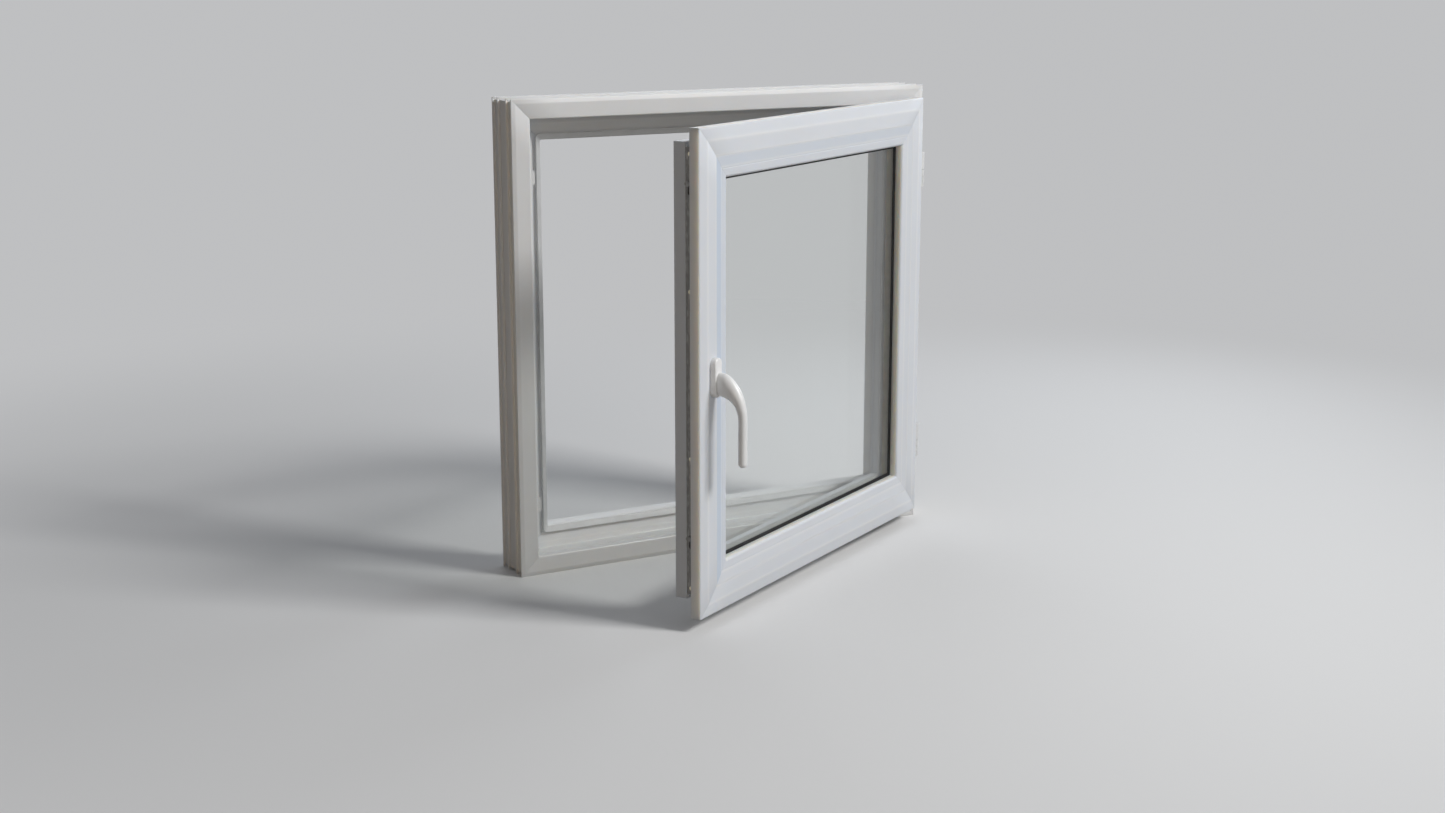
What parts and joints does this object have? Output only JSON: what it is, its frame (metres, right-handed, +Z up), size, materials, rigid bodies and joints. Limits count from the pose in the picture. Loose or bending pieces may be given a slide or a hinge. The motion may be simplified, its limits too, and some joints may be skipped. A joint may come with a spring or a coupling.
{
  "type": "casement window",
  "caption": "Inward-opening side-hung window: a hollow plastic frame and a double-glazed sash that turns on lift-off hinges and is locked by a lever, rack and rod.",
  "frame": {"origin": "middle of the frame's underside, in the plane of the frame's room face", "axes": "+X to the right seen from the room, towards the hinges; +Y from the room to the outside; +Z up"},
  "size_m": [0.8, 0.5148, 0.8],
  "materials": {
    "frame_plastic": "smooth white window plastic",
    "sash_plastic": "smooth white window plastic",
    "pale_gasket": "soft pale grey gasket",
    "black_gasket": "soft black gasket",
    "edge_sealant": "black edge sealant",
    "glass": "clear float glass",
    "spacer_aluminium": "mill finish",
    "packer_plastic": "moulded packers and backing pieces",
    "white_coated_metal": "white coated hinges and keeps",
    "handle_coat": "white coated handle",
    "bright_steel": "zinc plated screws and pins",
    "galvanised_steel": "galvanised reinforcement",
    "zinc_hardware": "dull zinc plate"
  },
  "bodies": {
    "frame": {"frame_head": "frame_plastic", "frame_sill": "frame_plastic", "frame_lock_jamb": "frame_plastic", "frame_hinge_jamb": "frame_plastic", "frame_head_steel": "galvanised_steel", "frame_sill_steel": "galvanised_steel", "frame_lock_steel": "galvanised_steel", "frame_hinge_steel": "galvanised_steel", "frame_gasket": "pale_gasket", "upper_keep": "white_coated_metal", "lower_keep": "white_coated_metal", "keep_screws": "bright_steel", "upper_hinge_block": "white_coated_metal", "lower_hinge_block": "white_coated_metal", "upper_hinge_pin": "bright_steel", "lower_hinge_pin": "bright_steel", "upper_hinge_washer": "packer_plastic", "lower_hinge_washer": "packer_plastic", "hinge_block_screws": "bright_steel", "hinge_screw_caps": "frame_plastic"},
    "sash": {"sash_top_rail": "sash_plastic", "sash_bottom_rail": "sash_plastic", "sash_lock_stile": "sash_plastic", "sash_hinge_stile": "sash_plastic", "sash_head_steel": "galvanised_steel", "sash_sill_steel": "galvanised_steel", "sash_lock_steel": "galvanised_steel", "sash_hinge_steel": "galvanised_steel", "sash_gasket": "pale_gasket", "top_bead": "sash_plastic", "bottom_bead": "sash_plastic", "lock_side_bead": "sash_plastic", "hinge_side_bead": "sash_plastic", "inner_pane": "glass", "outer_pane": "glass", "spacer_bar": "spacer_aluminium", "edge_seal": "edge_sealant", "inner_glazing_gasket": "black_gasket", "outer_glazing_gasket": "pale_gasket", "glazing_packers": "packer_plastic", "upper_hinge_leaf": "white_coated_metal", "lower_hinge_leaf": "white_coated_metal", "hinge_leaf_screws": "bright_steel", "lock_faceplate": "zinc_hardware", "faceplate_screws": "bright_steel", "gearbox_case": "zinc_hardware", "handle_backplate": "packer_plastic", "handle_screws": "bright_steel", "handle_cover": "handle_coat"},
    "handle": {"handle_lever": "handle_coat", "handle_spindle": "zinc_hardware", "lock_pinion": "zinc_hardware"},
    "rod": {"drive_rod": "zinc_hardware", "locking_cams": "zinc_hardware"}
  },
  "joints": [
    {"name": "sash_swing", "type": "hinge", "parent": "frame", "child": "sash", "pos_m": [0.388, -0.011, 0], "axis": [0, 0, 1], "range_deg": [-29.6, 60.4]},
    {"name": "handle_turn", "type": "hinge", "parent": "sash", "child": "handle", "pos_m": [-0.24173, -0.38254, 0.4], "axis": [0.4939, -0.8695, 0], "range_deg": [0, 90]},
    {"name": "rod_slide", "type": "slide", "parent": "sash", "child": "rod", "axis": [0, 0, -1], "range_m": [0, 0.0132]}
  ],
  "couplings": [
    {"joint": "rod_slide", "follows": "handle_turn", "m_per_rad": 0.0084}
  ]
}
